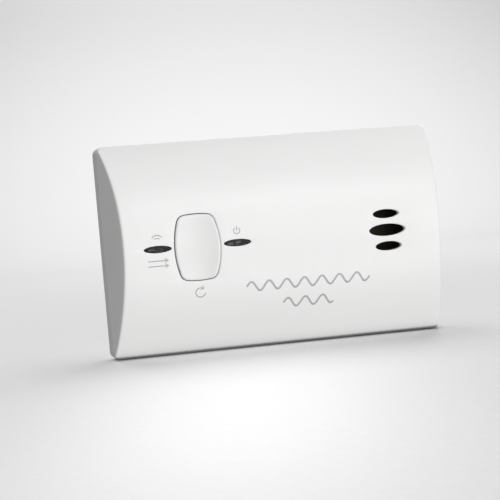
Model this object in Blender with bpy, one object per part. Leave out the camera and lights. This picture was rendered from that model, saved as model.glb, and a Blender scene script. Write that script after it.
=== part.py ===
"""Wall-mounted carbon monoxide alarm, three AA cells, modelled as separate pieces.

Case coordinates are used throughout, in millimetres: x across, depth out of the wall, z up from
the middle of the case.  World space is metres with the wall face at Y = 0, the front facing -Y,
and the origin on the wall face midway between the two keyholes that the alarm hangs on.
"""
from math import cos, pi, radians, sin, sqrt

import bmesh
import bpy
from mathutils import Vector

MM = 0.001
GAP = 0.3                    # clearance between neighbouring pieces

# Case
WIDTH = 114.0                # across the wall face
HEIGHT = 70.0
END_SLOPE = 0.24             # the ends lean in by this much for each unit of depth
CORNER = 2.2                 # corner radius seen from the front
EDGE_DEPTH = 5.8             # depth of the bowed front where it meets the top and the bottom
CROWN_RISE = 26.2            # how far the middle of the front stands out past EDGE_DEPTH
BOW_POWER = 0.93             # 1 is a plain parabola, less is fuller
BOW_SKEW = 0.14              # lifts the crown a little above the middle
WALL = 2.0
SEAM = 5.0                   # depth where the rear case ends and the front cover starts
BACK_BEVEL = 0.5             # round the wall face

# Wall mounting
HANG_Z = 27.0                # height of the keyhole heads above the case's middle
KEYHOLE_X = 30.0
KEYHOLE_HEAD = 3.1
KEYHOLE_SLOT = 1.7
KEYHOLE_RUN = 3.3

# Front controls, centres in x and z
BUTTON_AT = (-26.85, 0.6)
BUTTON_HALF = (6.9, 10.1)
BUTTON_CORNER_X = 5.25
BUTTON_PROUD = 0.7
ALARM_LIGHT_AT = (-39.0, 0.9)
POWER_LIGHT_AT = (-14.7, 0.9)
LIGHT_HALF = (4.2, 1.1)
VENTS = (((32.35, 5.9), (4.15, 1.4)), ((32.4, 0.85), (5.75, 1.9)), ((32.7, -4.2), (4.15, 1.45)))

# Battery bay: three cells lying along x
CELL_Z = (-17.0, -1.4, 14.2)
CELL_DEPTH = 10.3
CELL_RADIUS = 7.25
CELL_LENGTH = 50.5
NUB_RADIUS = 2.75
NUB_LENGTH = 1.3
BAY_X = (-48.4, 7.6)
BAY_WALL = 1.2
DOOR_THICKNESS = 1.2
DOOR_RECESS = 1.7
GRIP_DEPTH = 0.5             # grooves and arrow sunk in the door
CONTACT = 0.5
FLAG_PIVOT_X = -42.0
FLAG_TIP_X = -28.4
FLAG_DEPTH = 18.45

# Shallow recess for a rating label
LABEL_X = (17.0, 51.0)
LABEL_Z = (-21.0, 17.0)
LABEL_RECESS = 0.4

# Circuit board
BOARD_X = (-48.8, 46.0)
BOARD_Z = (-17.5, 18.5)
BOARD_DEPTH = (19.6, 21.2)
BOARD_POSTS = ((13.0, 15.0), (13.5, -12.5), (44.5, 15.0), (44.5, -13.5))
BOARD_CUTOUT = 14.6

# Horn and gas sensor
HORN_AT = (32.4, 0.85)
HORN_RADIUS = 14.0
HORN_DEPTH = (13.0, 24.2)
SENSOR_X = (17.0, 38.0)
SENSOR_Z = -21.5
SENSOR_DEPTH = 8.8
SENSOR_RADIUS = 6.2

# Case screws
CASE_SCREWS = ((47.0, 29.8), (47.0, -29.8), (-47.0, 29.8), (-47.0, -29.8))
SCREW_RADIUS = 1.0
SCREW_HOLE = 1.3


def clear_scene():
    for old in list(bpy.context.scene.objects):
        bpy.data.objects.remove(old, do_unlink=True)


def world(x, depth, z):
    """Case coordinates to world metres."""
    return Vector((x * MM, -depth * MM, (z - HANG_Z) * MM))


def material(name, color, roughness=0.5, metallic=0.0):
    mat = bpy.data.materials.new(name)
    mat.use_nodes = True
    shader = mat.node_tree.nodes["Principled BSDF"]
    shader.inputs["Base Color"].default_value = (*color, 1.0)
    shader.inputs["Roughness"].default_value = roughness
    shader.inputs["Metallic"].default_value = metallic
    return mat


# ---------------------------------------------------------------- solids

def loft(rings, loop=False):
    """Closed solid through rings of case-coordinate points; loop joins the last to the first."""
    bm = bmesh.new()
    rows = [[bm.verts.new(world(*point)) for point in ring] for ring in rings]
    pairs = list(zip(rows, rows[1:]))
    if loop:
        pairs.append((rows[-1], rows[0]))
    for low, high in pairs:
        for i in range(len(low)):
            j = (i + 1) % len(low)
            bm.faces.new((low[i], low[j], high[j], high[i]))
    if not loop:
        bm.faces.new(rows[0])
        bm.faces.new(rows[-1])
    bmesh.ops.recalc_face_normals(bm, faces=bm.faces)
    mesh = bpy.data.meshes.new("solid")
    bm.to_mesh(mesh)
    bm.free()
    obj = bpy.data.objects.new("solid", mesh)
    bpy.context.scene.collection.objects.link(obj)
    return obj


def block(x, depth, z):
    """Box between pairs of limits."""
    def ring(d):
        return [(x[0], d, z[0]), (x[1], d, z[0]), (x[1], d, z[1]), (x[0], d, z[1])]
    return loft([ring(depth[0]), ring(depth[1])])


def prism(outline, depth):
    """Outline of (x, z) points pushed through a range of depth."""
    return loft([[(x, d, z) for x, z in outline] for d in depth])


def turned(profile, centre, axis="depth", sides=32, loop=False):
    """Solid turned about a line along depth or x; profile is (along, radius) points."""
    angles = [2 * pi * k / sides for k in range(sides)]
    rings = []
    for along, radius in profile:
        if axis == "depth":
            rings.append([(centre[0] + radius * cos(a), along, centre[1] + radius * sin(a))
                          for a in angles])
        else:
            rings.append([(along, centre[0] + radius * cos(a), centre[1] + radius * sin(a))
                          for a in angles])
    return loft(rings, loop)


def rod(centre, depth, radius, sides=24):
    """Plain round bar along depth."""
    return turned([(depth[0], radius), (depth[1], radius)], centre, sides=sides)


def ellipse(centre, half, sides=32):
    angles = [2 * pi * k / sides for k in range(sides)]
    return [(centre[0] + half[0] * cos(a), centre[1] + half[1] * sin(a)) for a in angles]


def bake(obj):
    """Replace an object's mesh by its evaluated one and drop its modifiers."""
    graph = bpy.context.evaluated_depsgraph_get()
    mesh = bpy.data.meshes.new_from_object(obj.evaluated_get(graph))
    obj.modifiers.clear()
    obj.data = mesh


def combine(target, tools, operation):
    for tool in tools:
        step = target.modifiers.new(operation, "BOOLEAN")
        step.operation = operation
        step.object = tool
        step.solver = "EXACT"
        bake(target)
        bpy.data.objects.remove(tool, do_unlink=True)
    return target


def cut(target, *tools):
    return combine(target, tools, "DIFFERENCE")


def fuse(target, *tools):
    return combine(target, tools, "UNION")


def common(target, tool):
    return combine(target, [tool], "INTERSECT")


def finish(obj, name, mat, smooth=None, pivot=None):
    """Name a piece, give it its material, and put its origin on its joint's axis."""
    obj.name = name
    obj.data.name = name
    obj.data.materials.clear()
    obj.data.materials.append(mat)
    if smooth is not None:
        obj.data.shade_smooth()
        obj.data.set_sharp_from_angle(angle=radians(smooth))
    if pivot is not None:
        origin = world(*pivot)
        for vertex in obj.data.vertices:
            vertex.co -= origin
        obj.location = origin
    return obj


# ---------------------------------------------------------------- case shape

def bow(z, half_height=HEIGHT / 2):
    """Height of the bowed front at z, from 0 at its edges to about 1 at the crown."""
    u = max(-1.0, min(1.0, z / half_height))
    return (1 - u * u) ** BOW_POWER * (1 + BOW_SKEW * u)


def front_depth(z):
    return EDGE_DEPTH + CROWN_RISE * bow(z)


def bow_solid(edge, rise, half_height, back, steps=36):
    """Bar along x whose side view is the bow; the steps bunch where the bow is steep."""
    outline = [(back, -half_height)]
    for k in range(steps + 1):
        z = -half_height * cos(pi * k / steps)
        outline.append((edge + rise * bow(z, half_height), z))
    outline.append((back, half_height))
    return loft([[(x, depth, z) for depth, z in outline] for x in (-WIDTH, WIDTH)])


def tapered_outline(depth, inset, corner, steps=8):
    """Rounded rectangle of the case at one depth, moved in by inset."""
    half_x = WIDTH / 2 - inset - END_SLOPE * depth
    half_z = HEIGHT / 2 - inset
    points = []
    for quarter, (sx, sz) in enumerate(((1, 1), (-1, 1), (-1, -1), (1, -1))):
        for k in range(steps + 1):
            a = (quarter + k / steps) * pi / 2
            x = sx * (half_x - corner) + corner * cos(a)
            z = sz * (half_z - corner) + corner * sin(a)
            points.append((x, depth, z))
    return points


def tapered_block(back, front, inset=0.0, corner=CORNER):
    return loft([tapered_outline(back, inset, corner), tapered_outline(front, inset, corner)])


def barrel_outline(grow=0.0):
    """Button outline: bowed sides and faintly bowed ends."""
    half_x, half_z = BUTTON_HALF
    sag = half_x - BUTTON_CORNER_X
    end_sag = 0.25
    corner_z = half_z - end_sag
    points = []
    for side in (1, -1):
        for k in range(9):
            t = side * (-1 + k / 4)
            points.append((side * (half_x + grow - sag * t * t), t * (corner_z + grow)))
        for k in range(1, 4):
            t = side * (1 - k / 2)
            bulge = end_sag * (1 - t * t)
            points.append((t * (BUTTON_CORNER_X + grow), side * (corner_z + grow + bulge)))
    return [(x + BUTTON_AT[0], z + BUTTON_AT[1]) for x, z in points]


# ---------------------------------------------------------------- shells

def make_front_cover(mat):
    cover = common(tapered_block(SEAM + GAP, 40.0), bow_solid(EDGE_DEPTH, CROWN_RISE, HEIGHT / 2, 0.0))
    inner_bow = bow_solid(EDGE_DEPTH - 0.3, CROWN_RISE - 1.7, HEIGHT / 2 - WALL, 0.0)
    cut(cover, common(tapered_block(-1.0, 40.0, WALL + 0.2, CORNER - 1.0), inner_bow))
    for x, z in CASE_SCREWS:
        fuse(cover, rod((x, z), (SEAM + GAP, 9.0), 2.3))
        cut(cover, rod((x, z), (0.0, 8.2), SCREW_HOLE, sides=16))
    through = (20.0, 40.0)
    cut(cover, prism(barrel_outline(GAP), through))
    for centre in (ALARM_LIGHT_AT, POWER_LIGHT_AT):
        cut(cover, prism(ellipse(centre, LIGHT_HALF), through))
    for centre, half in VENTS:
        cut(cover, prism(ellipse(centre, half), through))
    return finish(cover, "front_cover", mat, smooth=30)


def keyhole(x):
    head = rod((x, HANG_Z), (-1.0, 3.0), KEYHOLE_HEAD)
    slot = block((x - KEYHOLE_SLOT, x + KEYHOLE_SLOT), (-1.0, 3.0), (HANG_Z, HANG_Z + KEYHOLE_RUN))
    end = rod((x, HANG_Z + KEYHOLE_RUN), (-1.0, 3.0), KEYHOLE_SLOT, sides=16)
    return head, slot, end


def bay_bar(z, radius, x, back):
    """U-shaped bar: the room one cell needs to drop in from behind."""
    steps = 16
    outline = [(back, z - radius)]
    for k in range(steps + 1):
        a = -pi / 2 + pi * k / steps
        outline.append((CELL_DEPTH + radius * cos(a), z + radius * sin(a)))
    outline.append((back, z + radius))
    return loft([[(at, depth, height) for depth, height in outline] for at in x])


def rear_block():
    """Outside of the rear case, bevelled round the wall face."""
    face = tapered_outline(0.0, BACK_BEVEL, CORNER - BACK_BEVEL)
    widest = [(x, BACK_BEVEL, z) for x, _, z in tapered_outline(0.0, 0.0, CORNER)]
    return loft([face, widest, tapered_outline(SEAM, 0.0, CORNER)])


def make_rear_case(mat):
    case = rear_block()
    cut(case, tapered_block(WALL, SEAM + 1.0, WALL, CORNER - 1.5))
    room = CELL_RADIUS + GAP
    outer_x = (BAY_X[0] - BAY_WALL, BAY_X[1] + BAY_WALL)
    for z in CELL_Z:
        fuse(case, bay_bar(z, room + BAY_WALL, outer_x, 0.5))
    for x, z in BOARD_POSTS:
        fuse(case, rod((x, z), (1.0, BOARD_DEPTH[0] - GAP), 2.8, sides=20))
        cut(case, rod((x, z), (12.0, BOARD_DEPTH[0] + 1.0), SCREW_HOLE, sides=12))
    for x, z in CASE_SCREWS:
        fuse(case, rod((x, z), (1.0, SEAM), 3.7))
        cut(case, rod((x, z), (-1.0, 2.4), 2.6, sides=20))
        cut(case, rod((x, z), (-1.0, SEAM + 1.0), SCREW_HOLE, sides=16))
    for x in (20.0, 34.0):
        fuse(case, block((x, x + 1.5), (1.0, 6.0), (SENSOR_Z - 5.5, SENSOR_Z + 5.5)))
    cut(case, turned([(15.0, SENSOR_RADIUS + GAP), (45.0, SENSOR_RADIUS + GAP)],
                     (SENSOR_DEPTH, SENSOR_Z), axis="x"))
    ledge = BAY_WALL - 0.3
    low = CELL_Z[0] - room - ledge
    high = CELL_Z[-1] + room + ledge
    cut(case, block((BAY_X[0] - ledge, BAY_X[1] + ledge), (-1.0, DOOR_RECESS), (low, high)))
    cut(case, rod((BAY_X[1] + ledge, CELL_Z[1]), (-1.0, DOOR_RECESS), 5.0))
    for z in CELL_Z:
        cut(case, bay_bar(z, room, BAY_X, -1.0))
    contact_room = (CELL_Z[0] - room + 0.1, CELL_Z[-1] + room - 0.1)
    for x in (BAY_X[0], BAY_X[1] - 1.1):
        cut(case, block((x, x + 1.1), (-1.0, 13.0), contact_room))
    for z in CELL_Z:
        cut(case, block((FLAG_PIVOT_X - 1.4, FLAG_TIP_X + 0.6), (16.0, 21.0), (z - 1.7, z + 1.7)))
        cut(case, block((FLAG_PIVOT_X - 1.0, FLAG_PIVOT_X + 1.0), (16.0, 21.0), (z - 2.9, z + 2.9)))
    for x in (-KEYHOLE_X, KEYHOLE_X):
        cut(case, *keyhole(x))
    cut(case, block(LABEL_X, (-1.0, LABEL_RECESS), LABEL_Z))
    return finish(case, "rear_case", mat, smooth=30)


def make_battery_door(mat):
    edge = BAY_WALL - 0.3 - GAP
    room = CELL_RADIUS + GAP
    x = (BAY_X[0] - edge, BAY_X[1] + edge)
    z = (CELL_Z[0] - room - edge, CELL_Z[-1] + room + edge)
    back = 0.2
    inside = back + DOOR_THICKNESS
    door = block(x, (back, inside), z)
    fuse(door, block((x[1] - 1.0, x[1] + 2.2), (back, inside - 0.2), (CELL_Z[1] - 2.6, CELL_Z[1] + 2.6)))
    for rib_x in (-36.0, -6.0):
        for cell_z in CELL_Z:
            rib_z = (cell_z - 5.0, cell_z + 5.0)
            fuse(door, block((rib_x, rib_x + 1.2), (inside - 0.2, inside + 1.1), rib_z))
    outside = (-1.0, back + GRIP_DEPTH)
    for step in range(5):
        groove = x[1] - 3.0 - 2.0 * step
        cut(door, block((groove - 1.0, groove), outside, (CELL_Z[1] - 9.0, CELL_Z[1] + 9.0)))
    arrow = [(-16.5, 3.5), (-12.0, 0.0), (-16.5, -3.5)]
    cut(door, prism([(point_x, CELL_Z[1] + point_z) for point_x, point_z in arrow], outside))
    return finish(door, "battery_door", mat)


# ---------------------------------------------------------------- controls

def make_test_button(mat):
    crown = bow_solid(EDGE_DEPTH + BUTTON_PROUD, CROWN_RISE, HEIGHT / 2, 0.0)
    back = 26.5
    cap = common(prism(barrel_outline(), (back, 40.0)), crown)
    x, z = BUTTON_AT
    half = BUTTON_HALF[0] + 1.6
    fuse(cap, block((x - half, x + half), (back, back + 0.9), (z - 4.5, z + 4.5)))
    fuse(cap, rod(BUTTON_AT, (back - GAP, back + 1.0), 2.0, sides=16))
    return finish(cap, "test_button", mat, smooth=30, pivot=(x, back, z))


def make_switch(body_mat, plunger_mat):
    x, z = BUTTON_AT
    half = 3.0
    front = BOARD_DEPTH[1] + GAP
    body = block((x - half, x + half), (front, front + 3.5), (z - half, z + half))
    cut(body, rod(BUTTON_AT, (front + 1.3, front + 6.0), 1.8, sides=16))
    finish(body, "switch_body", body_mat)
    plunger = rod(BUTTON_AT, (front + 2.7, 25.9), 1.5, sides=16)
    finish(plunger, "switch_plunger", plunger_mat, smooth=30, pivot=(x, 25.9, z))


def make_light(name, centre, lens_mat, lamp_mat):
    """Window insert in the cover and the round lamp behind it on the board."""
    lens = prism(ellipse(centre, (LIGHT_HALF[0] - GAP, LIGHT_HALF[1] - GAP)), (28.0, 31.0))
    fuse(lens, prism(ellipse(centre, (LIGHT_HALF[0] + 1.0, LIGHT_HALF[1] + 1.0)), (27.8, 28.8)))
    finish(lens, name + "_window", lens_mat, smooth=30)
    foot = BOARD_DEPTH[1] + GAP
    dome = [(26.0 + 1.5 * sin(radians(a)), 1.5 * cos(radians(a))) for a in (0, 30, 60, 80)]
    lamp = turned([(foot, 1.9), (foot + 1.0, 1.9), (foot + 1.0, 1.5)] + dome, centre, sides=16)
    finish(lamp, name + "_led", lamp_mat, smooth=40)


# ---------------------------------------------------------------- battery bay

def make_cell(index, z, nub_side, mat):
    """One AA cell; nub_side is -1 where its positive end faces -x."""
    tip = BAY_X[0] + GAP + CONTACT + GAP if nub_side < 0 else BAY_X[1] - GAP - CONTACT - GAP
    into = -nub_side
    profile = [(0.0, NUB_RADIUS), (NUB_LENGTH, NUB_RADIUS), (NUB_LENGTH, CELL_RADIUS - 0.5),
               (NUB_LENGTH + 0.5, CELL_RADIUS), (CELL_LENGTH - 0.5, CELL_RADIUS),
               (CELL_LENGTH, CELL_RADIUS - 0.5)]
    cell = turned([(tip + into * along, radius) for along, radius in profile],
                  (CELL_DEPTH, z), axis="x")
    finish(cell, f"battery_{index}", mat, smooth=30, pivot=(0.0, CELL_DEPTH, z))
    return tip + into * CELL_LENGTH


def make_spring(index, z, cell_end, plate, mat):
    """Conical contact spring between a cell's flat end and its contact plate."""
    wire = 0.35
    turns = 3.5
    per_turn = 12
    side = 1 if plate > cell_end else -1
    start = cell_end + side * (GAP + wire)
    stop = plate - side * (GAP + wire)
    count = int(turns * per_turn)
    rings = []
    for k in range(count + 1):
        t = k / count
        turn = 2 * pi * turns * t
        radius = 2.0 + 1.6 * t
        along = start + (stop - start) * t
        ring = []
        for m in range(6):
            a = 2 * pi * m / 6
            out = radius + wire * cos(a)
            ring.append((along + wire * sin(a), CELL_DEPTH + out * cos(turn), z + out * sin(turn)))
        rings.append(ring)
    finish(loft(rings), f"contact_spring_{index}", mat, smooth=60)


def make_contacts(mat):
    """Nickel plates at the two ends of the bay, joining the cells in series."""
    left = (BAY_X[0] + GAP, BAY_X[0] + GAP + CONTACT)
    right = (BAY_X[1] - GAP - CONTACT, BAY_X[1] - GAP)
    half = 5.0
    plates = (("contact_positive", left, CELL_Z[0], CELL_Z[0]),
              ("contact_link_left", left, CELL_Z[1], CELL_Z[2]),
              ("contact_link_right", right, CELL_Z[0], CELL_Z[1]),
              ("contact_negative", right, CELL_Z[2], CELL_Z[2]))
    for name, x, low, high in plates:
        plate = block(x, (4.5, 12.7), (low - half, high + half))
        finish(plate, name, mat)
    return left[1], right[0]


def make_flag(index, z, mat):
    """Lever that lifts when its cell is missing, so that the door can't be closed."""
    flag = block((FLAG_PIVOT_X - 0.6, FLAG_TIP_X), (18.0, 18.9), (z - 1.4, z + 1.4))
    sides = 12
    axle = loft([[(FLAG_PIVOT_X + 0.55 * cos(2 * pi * k / sides),
                   FLAG_DEPTH + 0.55 * sin(2 * pi * k / sides), z + end)
                  for k in range(sides)] for end in (-2.6, 2.6)])
    fuse(flag, axle)
    finish(flag, f"battery_flag_{index}", mat, pivot=(FLAG_PIVOT_X, FLAG_DEPTH, z))


# ---------------------------------------------------------------- board and what it carries

def make_board(mat):
    board = block(BOARD_X, BOARD_DEPTH, BOARD_Z)
    through = (BOARD_DEPTH[0] - 1.0, BOARD_DEPTH[1] + 1.0)
    cut(board, rod(HORN_AT, through, BOARD_CUTOUT, sides=40))
    for post in BOARD_POSTS:
        cut(board, rod(post, through, SCREW_HOLE, sides=12))
    finish(board, "circuit_board", mat)


def make_board_parts(chip, can, coil):
    face = BOARD_DEPTH[1] + GAP
    finish(block((-4.0, 5.0), (face, face + 1.6), (5.0, 14.0)), "controller_chip", chip)
    capacitor = turned([(face, 3.15), (face + 5.0, 3.15), (face + 5.4, 2.8)], (3.0, -6.0), sides=20)
    finish(capacitor, "capacitor", can, smooth=30)
    bobbin = [(face, 3.2), (face + 0.8, 3.2), (face + 0.8, 2.3), (face + 4.2, 2.3),
              (face + 4.2, 3.2), (face + 5.0, 3.2)]
    finish(turned(bobbin, (12.0, 3.0), sides=20), "horn_coil", coil, smooth=30)


def make_horn(shell, cap_mat, brass, ceramic, foam):
    back, front = HORN_DEPTH
    wall = 1.4
    neck = (7.4, 9.2)
    neck_front = 26.0
    inner = HORN_RADIUS - wall
    seat = 17.9
    flange = (BOARD_DEPTH[0] - 1.5, BOARD_DEPTH[0] - GAP)
    profile = [(back, HORN_RADIUS), (flange[0], HORN_RADIUS), (flange[0], HORN_RADIUS + 1.6),
               (flange[1], HORN_RADIUS + 1.6), (flange[1], HORN_RADIUS), (front, HORN_RADIUS),
               (front, neck[1]), (neck_front, neck[1]), (neck_front, neck[0]),
               (front - wall, neck[0]), (front - wall, inner - 1.2), (seat, inner - 1.2),
               (seat, inner), (back, inner)]
    finish(turned(profile, HORN_AT, sides=40, loop=True), "horn_housing", shell, smooth=30)
    finish(rod(HORN_AT, (back, back + 1.6), inner - GAP, sides=40), "horn_cap", cap_mat, smooth=30)
    disc = rod(HORN_AT, (seat - GAP - 0.4, seat - GAP), inner - GAP, sides=40)
    finish(disc, "piezo_disc", brass, smooth=30)
    crystal = rod(HORN_AT, (seat - 2 * GAP - 0.8, seat - 2 * GAP - 0.4), 8.5, sides=32)
    finish(crystal, "piezo_crystal", ceramic, smooth=30)
    ring = [(neck_front + GAP, 7.3), (neck_front + GAP, 8.4), (27.7, 8.4), (27.7, 7.3)]
    finish(turned(ring, HORN_AT, sides=32, loop=True), "horn_gasket", foam, smooth=30)


def make_gas_sensor(can, cap_mat):
    centre = (SENSOR_DEPTH, SENSOR_Z)
    body = [(SENSOR_X[0], 5.4), (SENSOR_X[0] + 0.8, SENSOR_RADIUS), (SENSOR_X[1], SENSOR_RADIUS)]
    finish(turned(body, centre, axis="x"), "gas_sensor", can, smooth=30)
    cap_x = (SENSOR_X[1] + GAP, SENSOR_X[1] + 3.0)
    cap = [(cap_x[0], 6.4), (cap_x[1] - 0.6, 6.4), (cap_x[1], 5.8), (cap_x[1], 2.0),
           (cap_x[0] + 1.0, 2.0)]
    finish(turned(cap, centre, axis="x"), "gas_sensor_cap", cap_mat, smooth=30)


# ---------------------------------------------------------------- fasteners

def make_screw(name, centre, head, shank, head_radius, mat):
    """Pan-head screw with a cross recess; the head is on its first depth's side."""
    way = 1 if shank > head[1] else -1
    profile = [(head[0], head_radius - 0.5), (head[0] + 0.5 * way, head_radius),
               (head[1], head_radius), (head[1], SCREW_RADIUS), (shank - 0.8 * way, SCREW_RADIUS),
               (shank, 0.4)]
    screw = turned(profile, centre, sides=16)
    x, z = centre
    for half in ((1.3, 0.3), (0.3, 1.3)):
        recess = sorted((head[0] - way, head[0] + 0.8 * way))
        cut(screw, block((x - half[0], x + half[0]), recess, (z - half[1], z + half[1])))
    finish(screw, name, mat, smooth=30)


def make_screws(mat):
    for index, centre in enumerate(CASE_SCREWS, 1):
        make_screw(f"case_screw_{index}", centre, (0.5, 2.1), 7.9, 2.3, mat)
    face = BOARD_DEPTH[1] + GAP
    for index, centre in enumerate(BOARD_POSTS, 1):
        make_screw(f"board_screw_{index}", centre, (face + 1.4, face), 12.6, 2.1, mat)


def main():
    clear_scene()
    white = material("white_abs", (0.86, 0.86, 0.84), 0.38)
    rear_white = material("rear_abs", (0.74, 0.74, 0.73), 0.45)
    smoke = material("smoked_window", (0.05, 0.05, 0.055), 0.15)
    black = material("black_nylon", (0.03, 0.03, 0.032), 0.5)
    red = material("red_acetal", (0.65, 0.04, 0.03), 0.4)
    green = material("green_lamp", (0.1, 0.5, 0.15), 0.2)
    red_lamp = material("red_lamp", (0.6, 0.05, 0.04), 0.2)
    laminate = material("green_laminate", (0.03, 0.2, 0.08), 0.45)
    nickel = material("nickel_plate", (0.66, 0.65, 0.61), 0.3, 1.0)
    steel = material("zinc_steel", (0.6, 0.6, 0.62), 0.35, 1.0)
    brass = material("brass", (0.78, 0.6, 0.28), 0.35, 1.0)
    ceramic = material("ceramic", (0.75, 0.74, 0.7), 0.5)
    aluminium = material("aluminium_can", (0.7, 0.71, 0.73), 0.35, 1.0)
    wrap = material("cell_wrap", (0.09, 0.1, 0.12), 0.35)
    foam = material("grey_foam", (0.16, 0.16, 0.17), 0.9)
    copper = material("copper_coil", (0.55, 0.25, 0.1), 0.4, 1.0)

    make_front_cover(white)
    make_rear_case(rear_white)
    make_battery_door(rear_white)
    make_test_button(white)
    make_switch(black, white)
    make_light("alarm", ALARM_LIGHT_AT, smoke, red_lamp)
    make_light("power", POWER_LIGHT_AT, smoke, green)

    left_plate, right_plate = make_contacts(nickel)
    for index, (z, nub_side) in enumerate(zip(CELL_Z, (-1, 1, -1)), 1):
        cell_end = make_cell(index, z, nub_side, wrap)
        make_spring(index, z, cell_end, right_plate if nub_side < 0 else left_plate, nickel)
        make_flag(index, z, red)

    make_board(laminate)
    make_board_parts(black, aluminium, copper)
    make_horn(black, black, brass, ceramic, foam)
    make_gas_sensor(aluminium, black)
    make_screws(steel)


main()
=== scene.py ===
"""Looks of the carbon monoxide alarm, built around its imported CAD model.

Lengths here are millimetres in case coordinates: x across, depth out of the wall, z up from the
middle of the case.  at() turns them into the model's metres.
"""

from math import asin, atan2, cos, hypot, pi, radians, sin, sqrt, tan

import bmesh
import bpy
from mathutils import Matrix, Vector


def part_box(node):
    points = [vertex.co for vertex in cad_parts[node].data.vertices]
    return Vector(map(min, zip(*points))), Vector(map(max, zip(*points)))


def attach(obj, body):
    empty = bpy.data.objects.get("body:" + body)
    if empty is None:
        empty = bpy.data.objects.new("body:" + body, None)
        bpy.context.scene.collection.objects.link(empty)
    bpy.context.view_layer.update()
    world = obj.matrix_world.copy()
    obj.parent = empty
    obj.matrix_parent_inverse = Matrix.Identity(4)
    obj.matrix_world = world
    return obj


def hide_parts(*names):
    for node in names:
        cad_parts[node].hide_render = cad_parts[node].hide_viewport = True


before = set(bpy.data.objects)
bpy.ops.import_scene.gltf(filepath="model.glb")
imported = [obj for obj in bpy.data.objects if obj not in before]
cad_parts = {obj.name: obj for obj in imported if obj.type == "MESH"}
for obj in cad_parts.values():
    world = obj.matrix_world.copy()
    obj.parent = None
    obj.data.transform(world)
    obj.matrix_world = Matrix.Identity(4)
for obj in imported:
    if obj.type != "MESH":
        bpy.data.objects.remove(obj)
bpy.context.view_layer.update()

MM = 0.001
case_low, case_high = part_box("rear_case")
WIDTH = (case_high.x - case_low.x) / MM
HEIGHT = (case_high.z - case_low.z) / MM
MIDDLE_Z = (case_low.z + case_high.z) / 2
WALL_Y = case_high.y

# As in the CAD
GAP = 0.3                     # clearance between neighbouring pieces
END_SLOPE = 0.24              # the ends lean in by this much for each unit of depth
CORNER = 2.2                  # corner radius seen from the front
EDGE_DEPTH = 5.8              # depth of the bowed front at the top and bottom edges
CROWN_RISE = 26.2             # how far the crown stands out past EDGE_DEPTH
BOW_POWER = 0.93              # 1 is a plain parabola, less is fuller
BOW_SKEW = 0.14               # lifts the crown a little above the middle
WALL = 2.0
CASE_SCREWS = ((47.0, 29.8), (47.0, -29.8), (-47.0, 29.8), (-47.0, -29.8))
POST_RADIUS = 2.3
POST_FRONT = 9.0
PILOT_RADIUS = 1.3
BUTTON_PROUD = 0.7            # its rim stands this far out of the cover
WINDOWS = {"alarm": (-39.0, 0.9), "power": (-14.7, 0.9)}
WINDOW_HALF = (4.2, 1.1)
VENTS = (((32.35, 5.9), (4.15, 1.4)), ((32.4, 0.85), (5.75, 1.9)), ((32.7, -4.2), (4.15, 1.45)))
LABEL_X = (17.0, 51.0)
LABEL_Z = (-21.0, 17.0)
LABEL_RECESS = 0.4

# Finer than the CAD
END_WALL = 2.2
SEAM_FRONT = 5.45             # the cover's edge at the seam
FRONT_FILLET = 1.0            # between the front and the ends
PILOT_FRONT = 8.2
HOLE_FILLET = 0.5
WINDOW_FILLET = 0.25
VENT_FILLET = 0.3
BUTTON_AT = (-26.85, 0.5)
BUTTON_HALF = (6.9, 10.2)
BUTTON_SIDE_SAG = 2.0         # how far its long sides bow out
BUTTON_END_SAG = 0.55
BUTTON_CORNER = 2.5
BUTTON_RIM = 0.75
BUTTON_DISH = 1.05
BUTTON_GAP = 0.18
BUTTON_OFF = 0.06             # the cap sits this much to the right in its hole
LABEL_FACE = 0.16             # the label's face, in from the wall
# Paler lens spots in the windows: partly the lamps' lenses, partly painted highlights.
PAINTED_LAMP_GLINTS = {"alarm": (((-1.8, -0.05), (1.1, 0.42)), ((1.15, 0.0), (0.22, 0.62))),
               "power": (((-2.0, -0.15), (0.95, 0.4)), ((0.35, 0.15), (0.95, 0.42)))}
SHADOW_GAP = 0.2              # the case stands this far off the table
MERGE_DISTANCE = 1e-7         # metres

# Printed signs
NAME_WAVES = ((-12.4, 26.8, -13.2), (-0.6, 15.6, -19.6))     # left end, right end and height
WAVE_SWING = 1.5
WAVE_LENGTH = 5.6
WAVE_PEN = 0.62
SOUND_SIGN_Z = 3.4
ARROW_SIGN_Z = (-2.6, -4.2)
POWER_SIGN_Z = 4.6
RESET_SIGN_Z = -13.6
SIGN_PEN = 0.3
INK_PROUD = 0.025
INK_SUNK = 0.06


def at(x, depth, z):
    """Case coordinates in millimetres to the model's metres."""
    return Vector((x * MM, WALL_Y - depth * MM, MIDDLE_Z + z * MM))


# ---------------------------------------------------------------- materials

def shader(name):
    """New material with its Principled shader and a function that adds nodes."""
    mat = bpy.data.materials.new(name)
    mat.use_nodes = True
    tree = mat.node_tree
    main = tree.nodes["Principled BSDF"]

    def add(kind, inputs=None, **settings):
        node = tree.nodes.new(kind)
        for key, value in settings.items():
            setattr(node, key, value)
        for key, value in (inputs or {}).items():
            if hasattr(value, "is_linked"):
                tree.links.new(value, node.inputs[key])
            else:
                node.inputs[key].default_value = value
        return node

    return mat, main, tree.links, add


def noise(add, scale, detail=3.0, roughness=0.5, stretch=None):
    """Noise over the piece's own coordinates; scale is features in each metre."""
    place = add("ShaderNodeTexCoord").outputs["Object"]
    if stretch:
        place = add("ShaderNodeMapping", {"Vector": place, "Scale": stretch}).outputs["Vector"]
    settings = {"Vector": place, "Scale": scale, "Detail": detail, "Roughness": roughness}
    return add("ShaderNodeTexNoise", settings).outputs["Fac"]


def between(add, fac, low, high):
    """Map 0.3..0.7 of a noise onto a range of values."""
    limits = {"Value": fac, "From Min": 0.3, "From Max": 0.7, "To Min": low, "To Max": high}
    return add("ShaderNodeMapRange", limits).outputs["Result"]


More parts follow.
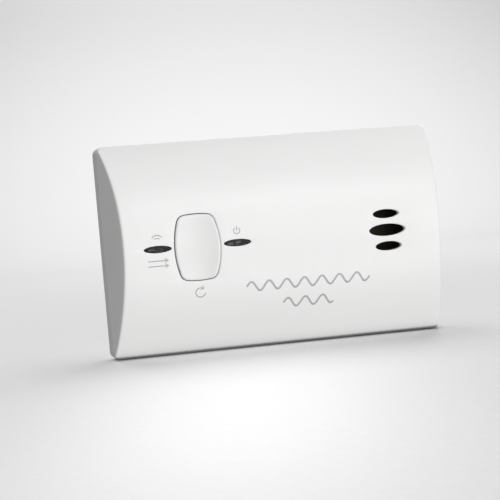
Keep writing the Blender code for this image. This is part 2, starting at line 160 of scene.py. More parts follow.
def blend_colors(add, fac, first, second):
    """Mix of two colours by a 0..1 value."""
    mix = add("ShaderNodeMix", data_type="RGBA")
    mix.inputs["A"].default_value = (*first, 1.0)
    mix.inputs["B"].default_value = (*second, 1.0)
    mix.id_data.links.new(fac, mix.inputs["Factor"])
    return mix.outputs["Result"]


def bump(add, height, distance, strength=1.0):
    """Bump normal from a height; distance is in metres."""
    settings = {"Height": height, "Distance": distance, "Strength": strength}
    return add("ShaderNodeBump", settings).outputs["Normal"]


def moulded(name, color, rough, grain=0.00002, grain_scale=2600.0, shift=0.012):
    """Injection-moulded plastic: faint flow shading, uneven gloss and a fine spark-eroded grain."""
    mat, main, links, add = shader(name)
    low = tuple(c - shift for c in color)
    high = tuple(min(1.0, c + shift) for c in color)
    flow = noise(add, scale=26.0, detail=2.0, stretch=(0.6, 1.0, 1.4))
    tint = blend_colors(add, between(add, flow, 0.0, 1.0), low, high)
    links.new(tint, main.inputs["Base Color"])
    gloss = noise(add, scale=420.0, detail=4.0)
    links.new(between(add, gloss, rough - 0.05, rough + 0.05), main.inputs["Roughness"])
    fine = noise(add, grain_scale, detail=2.0, roughness=0.6)
    links.new(bump(add, fine, grain), main.inputs["Normal"])
    main.inputs["IOR"].default_value = 1.5
    main.inputs["Specular IOR Level"].default_value = 0.38
    return mat


def metal(name, color, rough, stretch=(1.0, 1.0, 1.0), scale=900.0, grain=0.000008):
    """Plated or rolled metal with fine drawn streaks and uneven gloss."""
    mat, main, links, add = shader(name)
    streak = noise(add, scale, detail=4.0, roughness=0.6, stretch=stretch)
    dark = tuple(c * 0.86 for c in color)
    tint = blend_colors(add, between(add, streak, 0.0, 1.0), dark, color)
    links.new(tint, main.inputs["Base Color"])
    links.new(between(add, streak, rough - 0.07, rough + 0.09), main.inputs["Roughness"])
    links.new(bump(add, streak, grain), main.inputs["Normal"])
    main.inputs["Metallic"].default_value = 1.0
    return mat


def smoked_acrylic(name, deep, pale):
    """Polished dark window with a few faint moulding swirls."""
    mat, main, links, add = shader(name)
    swirl = noise(add, scale=600.0, detail=3.0)
    tint = blend_colors(add, between(add, swirl, 0.0, 1.0), deep, pale)
    links.new(tint, main.inputs["Base Color"])
    links.new(between(add, swirl, 0.06, 0.16), main.inputs["Roughness"])
    main.inputs["Transmission Weight"].default_value = 0.55
    main.inputs["IOR"].default_value = 1.49
    return mat


def lamp_epoxy(name, color):
    """Tinted clear lamp body, unlit."""
    mat, main, links, add = shader(name)
    haze = noise(add, scale=900.0, detail=2.0)
    deep = tuple(c * 0.7 for c in color)
    tint = blend_colors(add, between(add, haze, 0.0, 1.0), deep, color)
    links.new(tint, main.inputs["Base Color"])
    links.new(between(add, haze, 0.08, 0.18), main.inputs["Roughness"])
    main.inputs["Transmission Weight"].default_value = 0.4
    main.inputs["IOR"].default_value = 1.53
    return mat


def ink(name, color):
    """Pad-printed ink with slightly uneven cover."""
    mat, main, links, add = shader(name)
    cover = noise(add, scale=3200.0, detail=3.0, roughness=0.7)
    pale = tuple(min(1.0, c * 1.16) for c in color)
    tint = blend_colors(add, between(add, cover, 0.0, 1.0), color, pale)
    links.new(tint, main.inputs["Base Color"])
    links.new(between(add, cover, 0.45, 0.6), main.inputs["Roughness"])
    return mat


def laminate():
    """Green solder mask with copper lines faintly showing under it."""
    mat, main, links, add = shader("laminate")
    place = add("ShaderNodeTexCoord").outputs["Object"]
    turned = add("ShaderNodeMapping", {"Vector": place, "Rotation": (pi / 2, 0.0, 0.0)})
    grid = {"Vector": turned.outputs["Vector"], "Scale": 180.0, "Mortar Size": 0.06,
            "Brick Width": 0.9, "Row Height": 0.28}
    line = add("ShaderNodeTexBrick", grid).outputs["Fac"]
    links.new(blend_colors(add, line, (0.012, 0.115, 0.045), (0.03, 0.22, 0.085)),
              main.inputs["Base Color"])
    weave = noise(add, scale=1500.0, detail=2.0)
    links.new(between(add, weave, 0.28, 0.42), main.inputs["Roughness"])
    links.new(bump(add, line, distance=0.00003), main.inputs["Normal"])
    return mat


def foam():
    """Open-cell gasket foam."""
    mat, main, links, add = shader("foam")
    place = add("ShaderNodeTexCoord").outputs["Object"]
    cells = add("ShaderNodeTexVoronoi", {"Vector": place, "Scale": 2200.0}).outputs["Distance"]
    # The cells are darker at their middles, where the bump sinks them: painted shade in the pores.
    links.new(blend_colors(add, cells, (0.03, 0.03, 0.032), (0.11, 0.11, 0.115)),
              main.inputs["Base Color"])
    links.new(bump(add, cells, distance=0.0002), main.inputs["Normal"])
    main.inputs["Roughness"].default_value = 0.92
    return mat


def cell_wrap(name, node, nub_side):
    """Printed sleeve of an AA cell: dark body, copper band at the positive end, steel ends."""
    mat, main, links, add = shader(name)
    low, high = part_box(node)
    place = add("ShaderNodeTexCoord").outputs["Object"]
    x = add("ShaderNodeSeparateXYZ", {"Vector": place}).outputs["X"]
    start, stop = (low.x, high.x) if nub_side < 0 else (high.x, low.x)
    limits = {"Value": x, "From Min": start, "From Max": stop}
    along = add("ShaderNodeMapRange", limits).outputs["Result"]
    ramp = add("ShaderNodeValToRGB", {"Fac": along})
    ramp.color_ramp.interpolation = "CONSTANT"
    steel, copper = (0.6, 0.6, 0.61), (0.62, 0.3, 0.12)
    pale, body = (0.8, 0.78, 0.72), (0.03, 0.032, 0.036)
    stops = ((0.0, steel), (0.045, copper), (0.3, pale), (0.312, body), (0.972, steel))
    points = ramp.color_ramp.elements
    while len(points) < len(stops):
        points.new(0.5)
    for point, (where, color) in zip(points, stops):
        point.position = where
        point.color = (*color, 1.0)
    scuff = noise(add, scale=500.0, detail=5.0, roughness=0.65)
    worn = add("ShaderNodeMix", data_type="RGBA", blend_type="MULTIPLY")
    worn.inputs["Factor"].default_value = 0.25
    links.new(ramp.outputs["Color"], worn.inputs["A"])
    links.new(scuff, worn.inputs["B"])
    links.new(worn.outputs["Result"], main.inputs["Base Color"])
    links.new(between(add, scuff, 0.2, 0.36), main.inputs["Roughness"])
    main.inputs["Metallic"].default_value = 0.65
    links.new(bump(add, scuff, distance=0.00001), main.inputs["Normal"])
    return mat


# ---------------------------------------------------------------- mesh helpers

def mesh_object(name, bm, mat, smooth=35.0):
    """Turn a bmesh into a piece, smooth below an angle in degrees."""
    bmesh.ops.recalc_face_normals(bm, faces=bm.faces)
    mesh = bpy.data.meshes.new(name)
    bm.to_mesh(mesh)
    bm.free()
    mesh.materials.append(mat)
    mesh.shade_smooth()
    mesh.set_sharp_from_angle(angle=radians(smooth))
    obj = bpy.data.objects.new(name, mesh)
    bpy.context.scene.collection.objects.link(obj)
    return obj


def loft_mesh(rings, loop=False):
    """Closed mesh through rings of case-coordinate points."""
    bm = bmesh.new()
    rows = [[bm.verts.new(at(*point)) for point in ring] for ring in rings]
    pairs = list(zip(rows, rows[1:]))
    if loop:
        pairs.append((rows[-1], rows[0]))
    for low, high in pairs:
        for i in range(len(low)):
            j = (i + 1) % len(low)
            bm.faces.new((low[i], low[j], high[j], high[i]))
    if not loop:
        bm.faces.new(rows[0])
        bm.faces.new(rows[-1])
    return bm


def cut(target, cutters):
    """Subtract objects from a piece, one after another, and remove them."""
    for cutter in cutters:
        step = target.modifiers.new("cut", "BOOLEAN")
        step.operation = "DIFFERENCE"
        step.solver = "EXACT"
        step.object = cutter
        bake(target)
        bpy.data.objects.remove(cutter, do_unlink=True)


def fuse(target, additions):
    """Join objects to a piece, one after another, and remove them."""
    for addition in additions:
        step = target.modifiers.new("fuse", "BOOLEAN")
        step.operation = "UNION"
        step.solver = "EXACT"
        step.object = addition
        bake(target)
        bpy.data.objects.remove(addition, do_unlink=True)


def bake(obj):
    """Replace a piece's mesh by its evaluated one and drop its modifiers."""
    graph = bpy.context.evaluated_depsgraph_get()
    mesh = bpy.data.meshes.new_from_object(obj.evaluated_get(graph))
    obj.modifiers.clear()
    obj.data = mesh


def sharpen(obj, angle=35.0):
    """Smooth shading with sharp edges set again, after cuts."""
    obj.data.shade_smooth()
    obj.data.set_sharp_from_angle(angle=radians(angle))


# ---------------------------------------------------------------- outlines

def ellipse(centre, half, grow=0.0, sides=64):
    """Oval outline, moved out by grow."""
    angles = [2 * pi * k / sides for k in range(sides)]
    return [(centre[0] + (half[0] + grow) * cos(a), centre[1] + (half[1] + grow) * sin(a))
            for a in angles]


def barrel(grow=0.0):
    """Button outline: bowed sides and ends joined by round corners, moved out by grow."""
    half_x, half_z = BUTTON_HALF
    chord = half_x - BUTTON_SIDE_SAG
    side_radius = (BUTTON_SIDE_SAG ** 2 + half_z ** 2) / (2 * BUTTON_SIDE_SAG)
    end_radius = (BUTTON_END_SAG ** 2 + chord ** 2) / (2 * BUTTON_END_SAG)
    side_centre = half_x - side_radius
    end_centre = half_z - end_radius
    corner = (chord - BUTTON_CORNER, half_z - BUTTON_CORNER)
    for _ in range(6):         # the corner's centre settles in a few rounds
        corner = (side_centre + sqrt((side_radius - BUTTON_CORNER) ** 2 - corner[1] ** 2),
                  end_centre + sqrt((end_radius - BUTTON_CORNER) ** 2 - corner[0] ** 2))
    side_turn = asin(corner[1] / (side_radius - BUTTON_CORNER))
    end_turn = asin(corner[0] / (end_radius - BUTTON_CORNER))
    side_steps, corner_steps, end_steps = 12, 8, 7
    quarter = []
    for k in range(side_steps):
        a = side_turn * k / side_steps
        radius = side_radius + grow
        quarter.append((side_centre + radius * cos(a), radius * sin(a)))
    for k in range(corner_steps + 1):
        a = side_turn + (pi / 2 - end_turn - side_turn) * k / corner_steps
        radius = BUTTON_CORNER + grow
        quarter.append((corner[0] + radius * cos(a), corner[1] + radius * sin(a)))
    for k in range(1, end_steps + 1):
        a = pi / 2 - end_turn * (1 - k / end_steps)
        radius = end_radius + grow
        quarter.append((radius * cos(a), end_centre + radius * sin(a)))
    mirrored = [(-x, z) for x, z in quarter[-2:0:-1]] + [(-quarter[0][0], quarter[0][1])]
    upper = quarter + mirrored
    outline = upper + [(-x, -z) for x, z in upper[1:-1]]
    return [(x + BUTTON_AT[0], z + BUTTON_AT[1]) for x, z in outline]


def rounded_box(x, z, corner, steps=6):
    """Rectangle between two x and two z values, with round corners."""
    points = []
    for quarter, (cx, cz) in enumerate(((x[1], z[1]), (x[0], z[1]), (x[0], z[0]), (x[1], z[0]))):
        sx = 1 if cx == x[1] else -1
        sz = 1 if cz == z[1] else -1
        for k in range(steps + 1):
            a = (quarter + k / steps) * pi / 2
            points.append((cx - sx * corner + corner * cos(a), cz - sz * corner + corner * sin(a)))
    return points


def bow(z, half_height):
    """Bow of the front, 0 at the long edges and about 1 at the crown."""
    u = max(-1.0, min(1.0, z / half_height))
    return (1 - u * u) ** BOW_POWER * (1 + BOW_SKEW * u)


def front_depth(z):
    """Depth of the cover's outer face at this height."""
    return EDGE_DEPTH + CROWN_RISE * bow(z, HEIGHT / 2)


# ---------------------------------------------------------------- front cover

def corner_cut(z, half_z, corner):
    """How far a rounded corner pulls an end in at this height."""
    past = max(0.0, abs(z) - (half_z - corner))
    return corner - sqrt(max(0.0, corner * corner - past * past))


def end_section(half_x, depth, seam, radius):
    """Right half of a level section, from the seam up the leaning end and round to the front."""
    room = depth - seam
    lean = sqrt(1 + END_SLOPE ** 2)
    inside = pi / 2 + atan2(END_SLOPE, 1.0)
    reach = min(radius / tan(inside / 2), 0.8 * room)
    radius = reach * tan(inside / 2)
    tip = (half_x - END_SLOPE * depth, depth)
    start = (tip[0] + END_SLOPE / lean * reach, tip[1] - reach / lean)
    centre = (tip[0] - reach, depth - radius)
    first = atan2(start[1] - centre[1], start[0] - centre[0])
    side_steps, round_steps = 3, 6
    depths = [seam + (start[1] - seam) * k / side_steps for k in range(side_steps)]
    points = [(half_x - END_SLOPE * d, d) for d in depths]
    for k in range(round_steps + 1):
        a = first + (pi / 2 - first) * k / round_steps
        points.append((centre[0] + radius * cos(a), centre[1] + radius * sin(a)))
    return points


def shell_grid(inset_x, inset_z, edge, rise, corner, radius, rows=130, columns=16):
    """Rows of points over the bowed front and down both ends, from one long edge to the other."""
    half_z = HEIGHT / 2 - inset_z
    grid = []
    for i in range(-1, rows + 2):
        k = max(0, min(rows, i))
        z = -half_z * cos(pi * k / rows)
        depth = SEAM_FRONT if i != k else edge + rise * bow(z, half_z)
        half_x = WIDTH / 2 - inset_x - corner_cut(z, half_z, corner)
        right = end_section(half_x, depth, SEAM_FRONT, radius)
        reach = right[-1][0]
        middle = [(reach - 2 * reach * k / columns, depth) for k in range(1, columns)]
        left = [(-x, d) for x, d in reversed(right)]
        grid.append([(x, d, z) for x, d in right + middle + left])
    return grid


def rim_indices(rows, columns):
    """Walk once round the border of a grid."""
    last_row, last_column = rows - 1, columns - 1
    walk = [(0, j) for j in range(columns)]
    walk += [(i, last_column) for i in range(1, rows)]
    walk += [(last_row, j) for j in range(last_column - 1, -1, -1)]
    walk += [(i, 0) for i in range(last_row - 1, 0, -1)]
    return walk


def cover_shell(mat):
    """Outer and inner skins joined round the seam."""
    outer = shell_grid(0.0, 0.0, EDGE_DEPTH, CROWN_RISE, CORNER, FRONT_FILLET)
    inner = shell_grid(inset_x=END_WALL, inset_z=WALL, edge=EDGE_DEPTH - 0.3,
                       rise=CROWN_RISE - 1.7, corner=CORNER - 1.0, radius=0.4)
    bm = bmesh.new()
    skins = []
    for grid in (outer, inner):
        verts = [[bm.verts.new(at(*point)) for point in row] for row in grid]
        skins.append(verts)
        for low, high in zip(verts, verts[1:]):
            for j in range(len(low) - 1):
                bm.faces.new((low[j], low[j + 1], high[j + 1], high[j]))
    walk = rim_indices(len(outer), len(outer[0]))
    for (a, b), (c, d) in zip(walk, walk[1:] + walk[:1]):
        bm.faces.new((skins[0][a][b], skins[0][c][d], skins[1][c][d], skins[1][a][b]))
    bmesh.ops.remove_doubles(bm, verts=bm.verts, dist=MERGE_DISTANCE)
    bmesh.ops.dissolve_degenerate(bm, edges=bm.edges, dist=MERGE_DISTANCE)
    return mesh_object("front_shell", bm, mat)


def plug(outline, fillet):
    """Cutter for a hole in the bowed front that leaves a rounded rim following the surface."""
    top, bottom = 40.0, 20.0
    first = radians(14)
    flare = 1.2
    widest = outline(fillet * (1 - sin(first)) + flare * cos(first))
    above = flare * sin(first) - fillet * (1 - cos(first))
    rings = [[(x, top, z) for x, z in widest],
             [(x, front_depth(z) + above, z) for x, z in widest]]
    for angle in (first, radians(38), radians(64), pi / 2):
        drop = fillet * (1 - cos(angle))
        rings.append([(x, front_depth(z) - drop, z) for x, z in outline(fillet * (1 - sin(angle)))])
    rings.append([(x, bottom, z) for x, z in outline(0.0)])
    return mesh_object("cutter", loft_mesh(rings), rear_plastic)


def round_bar(centre, depth, radius, sides=32):
    """Plain round bar along depth to add to or take from a piece."""
    angles = [2 * pi * k / sides for k in range(sides)]
    rings = [[(centre[0] + radius * cos(a), d, centre[1] + radius * sin(a)) for a in angles]
             for d in depth]
    return mesh_object("cutter", loft_mesh(rings), rear_plastic)


def box_tool(x, depth, z):
    """Plain block to add to or take from a piece."""
    corners = [(x[0], z[0]), (x[1], z[0]), (x[1], z[1]), (x[0], z[1])]
    rings = [[(a, d, b) for a, b in corners] for d in depth]
    return mesh_object("cutter", loft_mesh(rings), rear_plastic)


def button_hole(grow):
    """Outline of the hole around the button, moved out by grow."""
    return [(x - BUTTON_OFF, z) for x, z in barrel(BUTTON_GAP + grow)]


def make_front_cover():
    """Shell with its four screw posts and its holes for the button, windows and vents."""
    cover = cover_shell(case_plastic)
    post_depth, pilot_depth = (SEAM_FRONT, POST_FRONT), (0.0, PILOT_FRONT)
    fuse(cover, [round_bar(centre, post_depth, POST_RADIUS) for centre in CASE_SCREWS])
    cut(cover, [round_bar(centre, pilot_depth, PILOT_RADIUS) for centre in CASE_SCREWS])
    ovals = [(centre, WINDOW_HALF, WINDOW_FILLET) for centre in WINDOWS.values()]
    ovals += [(centre, half, VENT_FILLET) for centre, half in VENTS]
    cutters = [plug(button_hole, HOLE_FILLET)]
    for centre, half, fillet in ovals:
        cutters.append(plug(lambda grow, c=centre, h=half: ellipse(c, h, grow), fillet))
    cut(cover, cutters)
    cover.data.materials.clear()
    cover.data.materials.append(case_plastic)
    sharpen(cover, 32.0)
    cover.name = "front_shell"
    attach(cover, "case")
    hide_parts("front_cover")


def make_seam_tongue():
    """Lip set back inside the seam, so that the shut line has a floor."""
    back, front = 4.8, 5.8
    outside, inside = 0.7, 1.6         # its two walls, in from the case's outline
    rings = []
    for depth, inset in ((back, outside), (front, outside), (front, inside), (back, inside)):
        half_x = WIDTH / 2 - END_SLOPE * depth - inset
        half_z = HEIGHT / 2 - inset
        outline = rounded_box((-half_x, half_x), (-half_z, half_z), max(0.5, CORNER - inset))
        rings.append([(x, depth, z) for x, z in outline])
    tongue = mesh_object("seam_tongue", loft_mesh(rings, True), rear_plastic, 40.0)
    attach(tongue, "case")


# ---------------------------------------------------------------- button and windows

def make_button():
    """Cap whose face is hollowed a little about its upright middle line, with a rounded rim."""
    back = 26.6
    tab_depth, tab_reach, tab_half = (26.5, 27.4), (6.0, 8.5), 4.5
    stem_depth, stem_radius = (26.2, 27.6), 2.0
    centre_x, centre_z = BUTTON_AT

    def face(x, z):
        across = min(1.0, abs(x - centre_x) / BUTTON_HALF[0])
        return front_depth(z) + BUTTON_PROUD - BUTTON_DISH * (1 - across * across)

    def ring(points, drop=0.0):
        return [(x, face(x, z) - drop, z) for x, z in points]

    rim = barrel(-BUTTON_RIM)
    rings = []
    for scale in (0.04, 0.15, 0.3, 0.45, 0.6, 0.75, 0.9, 1.0):
        rings.append(ring([(centre_x + (x - centre_x) * scale, centre_z + (z - centre_z) * scale)
                           for x, z in rim]))
    for turn in (20, 40, 60, 75, 90):
        a = radians(turn)
        rings.append(ring(barrel(-BUTTON_RIM * (1 - sin(a))), BUTTON_RIM * (1 - cos(a))))
    rings.append([(x, back, z) for x, z in barrel()])
    cap = mesh_object("button_cap", loft_mesh(rings), button_plastic, 50.0)
    tabs = [box_tool([centre_x + side * reach for reach in tab_reach], tab_depth,
                     (centre_z - tab_half, centre_z + tab_half)) for side in (-1, 1)]
    fuse(cap, tabs + [round_bar(BUTTON_AT, stem_depth, stem_radius)])
    cap.data.materials.clear()
    cap.data.materials.append(button_plastic)
    sharpen(cap, 50.0)
    cap.name = "button_cap"
    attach(cap, "button")
    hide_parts("test_button")


def make_windows():
    """Recessed smoked inserts, flanged behind the cover, with low paler lenses: partly the lamps'
    lenses, partly painted highlights in the windows.
    """
    half = (WINDOW_HALF[0] - GAP * 0.5, WINDOW_HALF[1] - GAP * 0.5)
    crown = (half[0] * 0.5, half[1] * 0.4)
    flange = 0.9
    insert = ((27.8, WINDOW_HALF, flange), (28.7, WINDOW_HALF, flange), (28.7, half, 0.0),
              (31.0, half, 0.0), (31.15, half, -0.12), (31.25, half, -0.4), (31.3, crown, 0.0))
    dome = ((31.22, 1.0), (31.34, 0.92), (31.41, 0.7), (31.44, 0.2))
    for name, centre in WINDOWS.items():
        rings = [[(x, depth, z) for x, z in ellipse(centre, size, grow)]
                 for depth, size, grow in insert]
        window = mesh_object(name + "_insert", loft_mesh(rings), window_smoke, 50.0)
        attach(window, "case")
        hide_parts(name + "_window")
        # Each paler lens is partly a lamp's lens and partly a painted highlight.
        for k, (shift, reach) in enumerate(PAINTED_LAMP_GLINTS[name], 1):
            spot = (centre[0] + shift[0], centre[1] + shift[1])
            rings = [[(x, depth, z)
                      for x, z in ellipse(spot, (reach[0] * size, reach[1] * size), sides=24)]
                     for depth, size in dome]
            lens = mesh_object(f"{name}_lens_{k}", loft_mesh(rings), glint_lens_smoke, 50.0)
            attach(lens, "case")


# ---------------------------------------------------------------- printed marks

def arc_points(centre, radius, start, stop, steps):
    """Points along an arc; start and stop are in degrees."""
    return [(centre[0] + radius * cos(radians(start + (stop - start) * k / steps)),
             centre[1] + radius * sin(radians(start + (stop - start) * k / steps)))
            for k in range(steps + 1)]


def on_front(z):
    """Outer and sunk depth of ink on the bowed front."""
    return front_depth(z) + INK_PROUD, front_depth(z) - INK_SUNK


def on_label(z):
    """The same on the flat label, at any height."""
    return LABEL_FACE - 0.02, LABEL_FACE + 0.05


def stroke(points, width, name, closed=False, face=on_front):
    """Printed line: a flat strip laid on a face, its edges square to its path."""
    count = len(points)
    rings = []
    for k, (x, z) in enumerate(points):
        before = points[(k - 1) % count] if closed or k > 0 else points[k]
        after = points[(k + 1) % count] if closed or k < count - 1 else points[k]
        dx, dz = after[0] - before[0], after[1] - before[1]
        size = hypot(dx, dz)
        nx, nz = -dz / size * width / 2, dx / size * width / 2
        outer, sunk = face(z + nz), face(z - nz)
        rings.append([(x + nx, outer[0], z + nz), (x - nx, sunk[0], z - nz),
                      (x - nx, sunk[1], z - nz), (x + nx, outer[1], z + nz)])
    return mesh_object(name, loft_mesh(rings, closed), print_ink, 60.0)


def name_waves():
    """Two wavy lines where the product's descriptive name would be."""
    steps = 90
    strokes = []
    for row, (low, high, z) in enumerate(NAME_WAVES, 1):
        points = []
        for k in range(steps + 1):
            x = low + (high - low) * k / steps
            points.append((x, z + WAVE_SWING * sin(2 * pi * (x - low) / WAVE_LENGTH)))
        strokes.append(stroke(points, WAVE_PEN, f"print_wave_{row}"))
    return strokes


def sound_sign(x, z):
    """Arcs of spreading sound."""
    return [stroke(arc_points((x, z), radius, 35, 145, 16), SIGN_PEN, f"print_sound_{k}")
            for k, radius in enumerate((0.9, 1.8), 1)]


def arrow_sign(x, heights):
    """Arrows to the right, one under the other."""
    tail, neck, tip = -3.2, 2.6, 3.0
    barb_x, barb_z = 1.9, 0.6
    strokes = []
    for k, z in enumerate(heights, 1):
        strokes.append(stroke([(x + tail, z), (x + neck, z)], SIGN_PEN, f"print_arrow_{k}"))
        head = [(x + barb_x, z + barb_z), (x + tip, z), (x + barb_x, z - barb_z)]
        strokes.append(stroke(head, SIGN_PEN, f"print_arrow_head_{k}"))
    return strokes


def power_sign(x, z):
    """Open ring with an upright bar in its gap."""
    radius, pen = 0.95, 0.28
    return [stroke(arc_points((x, z), radius, 125, 415, 24), pen, "print_power_ring"),
            stroke([(x, z - 0.1), (x, z + 1.4)], pen, "print_power_bar")]


def reset_sign(x, z):
    """Open ring that ends in an arrow head."""
    radius, pen = 1.5, 0.32
    ring = arc_points((x, z), radius, 60, 350, 30)
    end_x, end_z = ring[0]
    head = [(end_x - 0.2, end_z + 0.9), (end_x + 0.35, end_z - 0.05), (end_x - 0.7, end_z - 0.35)]
    return [stroke(ring, pen, "print_reset_ring"), stroke(head, pen, "print_reset_head")]


def make_marks():
    """Generic printed signs in place of wording."""
    marks = name_waves()
    marks += sound_sign(WINDOWS["alarm"][0], SOUND_SIGN_Z)
    marks += arrow_sign(WINDOWS["alarm"][0], ARROW_SIGN_Z)
    marks += power_sign(WINDOWS["power"][0], POWER_SIGN_Z)
    marks += reset_sign(BUTTON_AT[0], RESET_SIGN_Z)
    for mark in marks:
        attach(mark, "case")


def make_label():
    """Blank rating label in its recess on the back: a border and empty ruled lines, no wording."""
    margin, corner = 0.6, 1.2
    border_inset, border_corner, border_pen = 1.6, 0.8, 0.3
    rule_count, rule_top, rule_pitch, rule_inset, rule_pen = 5, 5.0, 4.6, 4.5, 0.22
    ring_inset, ring_drop, ring_radius, ring_pen = 7.5, 5.2, 1.7, 0.35
    left, right = LABEL_X[0] + margin, LABEL_X[1] - margin
    low, high = LABEL_Z[0] + margin, LABEL_Z[1] - margin
    rings = [[(x, depth, z) for x, z in rounded_box((left, right), (low, high), corner)]
             for depth in (LABEL_FACE, LABEL_RECESS + 0.02)]
    pieces = [mesh_object("rating_label", loft_mesh(rings), label_film, 40.0)]
    border = rounded_box((left + border_inset, right - border_inset),
                         (low + border_inset, high - border_inset), border_corner)
    pieces.append(stroke(border, border_pen, "label_border", closed=True, face=on_label))
    for row in range(1, rule_count + 1):
        z = high - rule_top - rule_pitch * row
        line = [(left + rule_inset, z), (right - rule_inset, z)]
        pieces.append(stroke(line, rule_pen, f"label_rule_{row}", face=on_label))
    disc = arc_points((right - ring_inset, high - ring_drop), ring_radius, 0, 350, 35)
    pieces.append(stroke(disc, ring_pen, "label_ring", closed=True, face=on_label))
    for piece in pieces:
        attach(piece, "case")


# ---------------------------------------------------------------- CAD pieces that stay

def dress(node, mat):
    """Give a CAD piece its finished material."""
    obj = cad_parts[node]
    obj.data.materials.clear()
    obj.data.materials.append(mat)


def dress_all():
    """Materials of the CAD pieces that are shown as they are."""
    black = moulded("black_nylon", (0.03, 0.03, 0.032), rough=0.5, shift=0.008)
    red = moulded("red_acetal", (0.6, 0.035, 0.025), rough=0.38, shift=0.02)
    nickel = metal("nickel_plate", (0.66, 0.64, 0.6), rough=0.3, stretch=(1.0, 1.0, 0.1))
    zinc = metal("zinc_plate", (0.62, 0.63, 0.66), rough=0.33)
    can = metal("drawn_can", (0.72, 0.73, 0.75), rough=0.32, stretch=(0.08, 1.0, 1.0))
    # Brass far darker than brass: painted shade for the hollow behind the vents, where the disc
    # shows.
    shade_darkened_brass = metal("brass_painted_dark", (0.17, 0.145, 0.11), rough=0.5, stretch=(0.1, 1.0, 1.0))
    copper = metal("enamelled_wire", (0.62, 0.26, 0.1), rough=0.35, stretch=(1.0, 0.05, 1.0),
                   scale=2500.0, grain=0.00005)
    silver = metal("silvered_ceramic", (0.78, 0.77, 0.73), rough=0.5)
    for node in ("rear_case", "battery_door"):
        dress(node, rear_plastic)
    for node in ("switch_body", "controller_chip", "horn_housing", "horn_cap", "gas_sensor_cap"):
        dress(node, black)
    dress("switch_plunger", button_plastic)
    dress("alarm_led", lamp_epoxy("red_lamp", (0.7, 0.05, 0.04)))
    dress("power_led", lamp_epoxy("green_lamp", (0.12, 0.6, 0.18)))
    dress("circuit_board", laminate())
    dress("horn_gasket", foam())
    dress("capacitor", can)
    dress("gas_sensor", can)
    dress("horn_coil", copper)
    dress("piezo_disc", shade_darkened_brass)
    dress("piezo_crystal", silver)
    for k in range(1, 5):
        dress(f"case_screw_{k}", zinc)
        dress(f"board_screw_{k}", zinc)
    for k, nub_side in enumerate((-1, 1, -1), 1):
        dress(f"battery_{k}", cell_wrap(f"cell_wrap_{k}", f"battery_{k}", nub_side))
        dress(f"contact_spring_{k}", nickel)
        dress(f"battery_flag_{k}", red)
    for end in ("positive", "link_left", "link_right", "negative"):
        dress(f"contact_{end}", nickel)


# ---------------------------------------------------------------- stage, light and camera

def make_paper(floor):
    """Pale floor that sweeps up into a backdrop well behind the alarm."""
    mat, main, links, add = shader("studio_paper")
    fibre = between(add, noise(add, scale=700.0, detail=4.0), 0.0, 1.0)
    links.new(blend_colors(add, fibre, (0.86, 0.86, 0.865), (0.88, 0.88, 0.885)),
              main.inputs["Base Color"])
    main.inputs["Roughness"].default_value = 0.9
    main.inputs["Specular IOR Level"].default_value = 0.1
    front, back, top, half_width, bend = -5.0, 1.0, 4.0, 6.0, 0.35
    side = [(front, 0.0), (back - bend, 0.0)]
    side += [(back - bend + bend * sin(radians(a)), bend - bend * cos(radians(a)))
             for a in range(6, 91, 6)]
    side += [(back, top)]
    bm = bmesh.new()
    rows = [[bm.verts.new((x, y, floor + z)) for y, z in side] for x in (-half_width, half_width)]
    for k in range(len(side) - 1):
        bm.faces.new((rows[0][k], rows[1][k], rows[1][k + 1], rows[0][k + 1]))
    return mesh_object("studio_sweep", bm, mat, 60.0)


def make_shade_sheet(floor):
    """Dark sheet just below the floor and under the case: painted shade, it stops light from below
    so the line where the case meets the table stays dark.
    """
    mat, main, links, add = shader("contact_shade_sheet")
    dark = blend_colors(add, noise(add, scale=700.0), (0.02, 0.02, 0.02), (0.03, 0.03, 0.03))
    links.new(dark, main.inputs["Base Color"])
    main.inputs["Roughness"].default_value = 0.9
    half, front, back, drop = WIDTH / 2 * MM - 0.001, -0.009, 0.004, 0.001
    corners = ((-half, front), (half, front), (half, back), (-half, back))
    bm = bmesh.new()
    bm.faces.new([bm.verts.new((x, y, floor - drop)) for x, y in corners])
    return mesh_object("contact_shade_sheet", bm, mat)


def make_stage():
    """Lit table, in metres: paper that the room's light passes, and a strip that stops it.

    The paper shows only to the camera, so light reaches the case from below as well.  The strip
    keeps the line where the case meets the table dark.
    """
    floor = case_low.z - SHADOW_GAP * MM
    paper = make_paper(floor)
    paper.visible_diffuse = paper.visible_glossy = paper.visible_shadow = False
    make_shade_sheet(floor)
    return paper


def aim(name, data, place, target, paper, for_paper):
    """Put a light in the scene, for the paper alone or for everything but the paper."""
    obj = bpy.data.objects.new(name, data)
    obj.location = place
    obj.rotation_mode = "QUATERNION"
    obj.rotation_quaternion = (Vector(target) - Vector(place)).to_track_quat("-Z", "Y")
    bpy.context.scene.collection.objects.link(obj)
    linked = bpy.data.collections.new(name + "_link")
    linked.objects.link(paper)
    linked.collection_objects[0].light_linking.link_state = "INCLUDE" if for_paper else "EXCLUDE"
    obj.light_linking.receiver_collection = linked
    obj.visible_camera = False


def area_light(name, place, target, size, power, paper, for_paper=False):
    """Flat panel of light, turned to its target."""
    data = bpy.data.lights.new(name, "AREA")
    data.shape = "RECTANGLE"
    data.size, data.size_y = size
    data.energy = power
    aim(name, data, place, target, paper, for_paper)


def spot_light(name, place, target, power, cone, radius, paper, for_paper=False):
    """Soft-edged pool of light; cone is its full angle in degrees."""
    data = bpy.data.lights.new(name, "SPOT")
    data.energy = power
    data.spot_size = radians(cone)
    data.spot_blend = 1.0
    data.shadow_soft_size = radius
    aim(name, data, place, target, paper, for_paper)


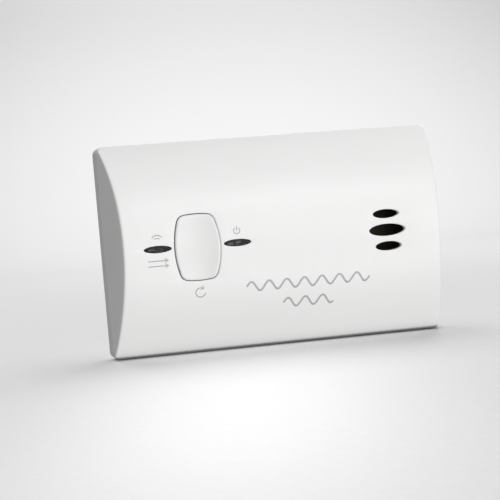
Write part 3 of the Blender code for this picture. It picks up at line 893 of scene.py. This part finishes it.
def make_light(paper):
    """Even room light, a soft key from the front right, fills, and three lights for the paper.

    Places and sizes are in metres, powers in watts.
    """
    world = bpy.data.worlds.new("studio")
    world.use_nodes = True
    background = world.node_tree.nodes["Background"]
    background.inputs["Color"].default_value = (1.0, 1.0, 1.0, 1.0)
    background.inputs["Strength"].default_value = 0.34      # the room
    bpy.context.scene.world = world
    middle = (0.0, -0.02, MIDDLE_Z)
    spot_light("key", place=(1.0, -1.65, 0.16), target=middle,
               power=38.0, cone=26.0, radius=0.4, paper=paper)
    area_light("above", place=(0.16, -0.55, 0.75), target=middle,
               size=(0.5, 0.4), power=5.4, paper=paper)
    area_light("below", place=(0.16, -0.55, -0.75), target=middle,
               size=(0.5, 0.4), power=4.5, paper=paper)
    area_light("behind", place=(0.3, 0.8, 0.25), target=middle,
               size=(0.6, 0.5), power=4.0, paper=paper)
    area_light("over_paper", place=(0.05, 0.3, 1.2), target=(0.05, 0.31, 0.0),
               size=(1.4, 1.4), power=11.4, paper=paper, for_paper=True)
    spot_light("pool", place=(-0.14, -0.9, 0.3), target=(-0.025, -0.105, -0.06),
               power=26.0, cone=7.0, radius=0.03, paper=paper, for_paper=True)
    spot_light("on_backdrop", place=(0.14, -0.3, 0.6), target=(0.14, 0.9, 0.14),
               power=23.0, cone=54.0, radius=0.2, paper=paper, for_paper=True)


def make_camera():
    """View from the front left, a little above the middle, and slightly rolled."""
    focal_px, frame_px = 900.0, 500.0
    place = (-46.1, 304.2, 8.9)
    yaw, pitch, roll = 0.1279, -0.0385, -0.0833      # radians
    ahead = Vector((sin(yaw) * cos(pitch), cos(yaw) * cos(pitch), sin(pitch)))
    level = Vector((cos(yaw), -sin(yaw), 0.0))
    up = level.cross(ahead)
    right = cos(roll) * level + sin(roll) * up
    above = -sin(roll) * level + cos(roll) * up
    data = bpy.data.cameras.new("camera")
    data.sensor_width = 36.0
    data.lens = data.sensor_width * focal_px / frame_px
    data.clip_start = 0.01
    obj = bpy.data.objects.new("camera", data)
    turn = Matrix((right, above, -ahead)).transposed()
    obj.matrix_world = Matrix.Translation(at(*place)) @ turn.to_4x4()
    bpy.context.scene.collection.objects.link(obj)
    bpy.context.scene.camera = obj


case_plastic = moulded("case_abs", (0.82, 0.82, 0.815), rough=0.48)
button_plastic = moulded("button_abs", (0.77, 0.77, 0.765), rough=0.42)
rear_plastic = moulded("rear_abs", (0.72, 0.72, 0.715), rough=0.5,
                       grain=0.00004, grain_scale=1700.0)
window_smoke = smoked_acrylic("smoked_acrylic", (0.035, 0.035, 0.038), (0.09, 0.09, 0.094))
# Paler smoked colour of the lenses: partly their own tint, partly painted highlight in the windows.
glint_lens_smoke = smoked_acrylic("smoked_lens_painted_glint", (0.13, 0.13, 0.135), (0.24, 0.24, 0.245))
label_film = moulded("label_film", (0.8, 0.8, 0.79), rough=0.3, grain=0.000004)
print_ink = ink("print_grey", (0.38, 0.38, 0.385))

make_camera()
make_light(make_stage())
make_front_cover()
make_seam_tongue()
make_button()
make_windows()
make_marks()
make_label()
dress_all()

view = bpy.context.scene.view_settings
view.view_transform = "Standard"
view.look = "None"
